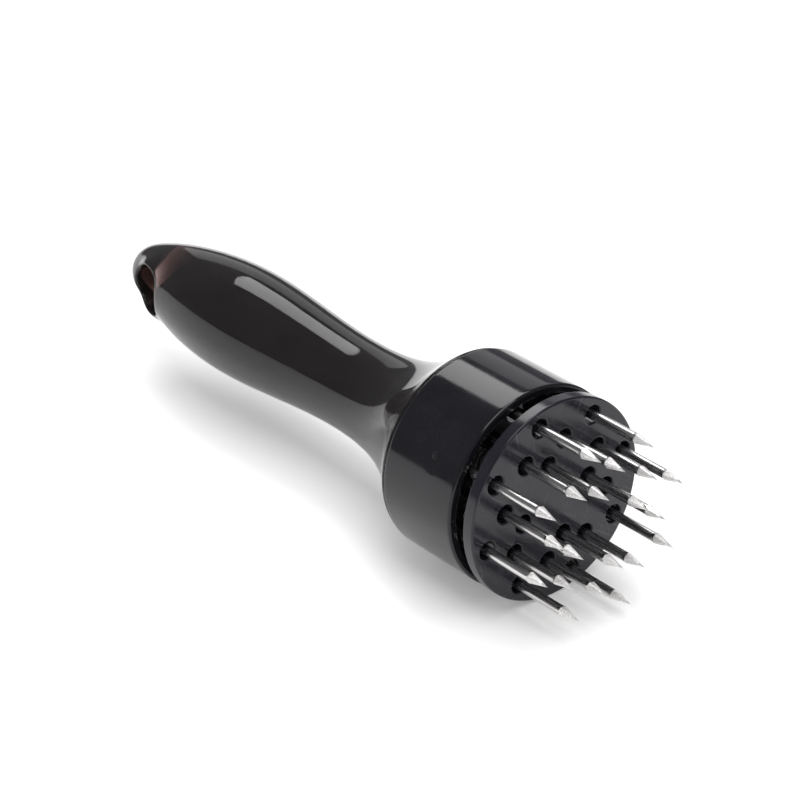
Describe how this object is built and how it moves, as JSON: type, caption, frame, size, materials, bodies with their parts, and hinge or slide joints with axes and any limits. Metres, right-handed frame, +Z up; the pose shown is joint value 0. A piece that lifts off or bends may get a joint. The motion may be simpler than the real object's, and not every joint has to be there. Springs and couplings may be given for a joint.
{
  "type": "needle meat tenderizer",
  "caption": "Hand-held meat tenderizer: steel needles in a round head pierce meat through a sprung presser plate; smoked plastic grip with a hanging hole.",
  "frame": {"origin": "under the middle of the tool, on the surface that the underside of the head rests on", "axes": "+X along the tool's axis towards the needle tips, +Y across it along the hanging hole, +Z up"},
  "size_m": [0.201, 0.056, 0.056],
  "materials": {
    "smoked_grip": "gloss, smoked brown-black, slightly see-through where thin",
    "housing_black": "semi-gloss moulded black",
    "plate_black": "satin moulded black",
    "holder_black": "satin moulded black",
    "bush_nylon": "satin natural nylon",
    "needle_steel": "bright drawn stainless steel, frosted points",
    "stem_steel": "turned steel",
    "spring_steel": "drawn spring wire",
    "zinc_steel": "zinc plated"
  },
  "bodies": {
    "grip_body": {"handle_shell": "smoked_grip", "handle_end": "smoked_grip", "housing_cup": "housing_black", "needle_holder": "holder_black", "backing_plate": "holder_black", "guide_bush": "bush_nylon", "return_spring": "spring_steel", "fixing_screws": "zinc_steel", "needle_01": "needle_steel", "needle_02": "needle_steel", "needle_03": "needle_steel", "needle_04": "needle_steel", "needle_05": "needle_steel", "needle_06": "needle_steel", "needle_07": "needle_steel", "needle_08": "needle_steel", "needle_09": "needle_steel", "needle_10": "needle_steel", "needle_11": "needle_steel", "needle_12": "needle_steel", "needle_13": "needle_steel", "needle_14": "needle_steel", "needle_15": "needle_steel", "needle_16": "needle_steel", "needle_17": "needle_steel", "needle_18": "needle_steel", "needle_19": "needle_steel", "needle_20": "needle_steel"},
    "presser": {"presser_plate": "plate_black", "plunger_stem": "stem_steel", "stop_washer": "zinc_steel", "stop_screw": "zinc_steel"}
  },
  "joints": [
    {"name": "presser_slide", "type": "slide", "parent": "grip_body", "child": "presser", "axis": [1, 0, 0], "range_m": [-0.0049, 0.025], "stiffness_N_per_m": 400, "springref_m": 0.045, "deforming": ["return_spring"]}
  ]
}
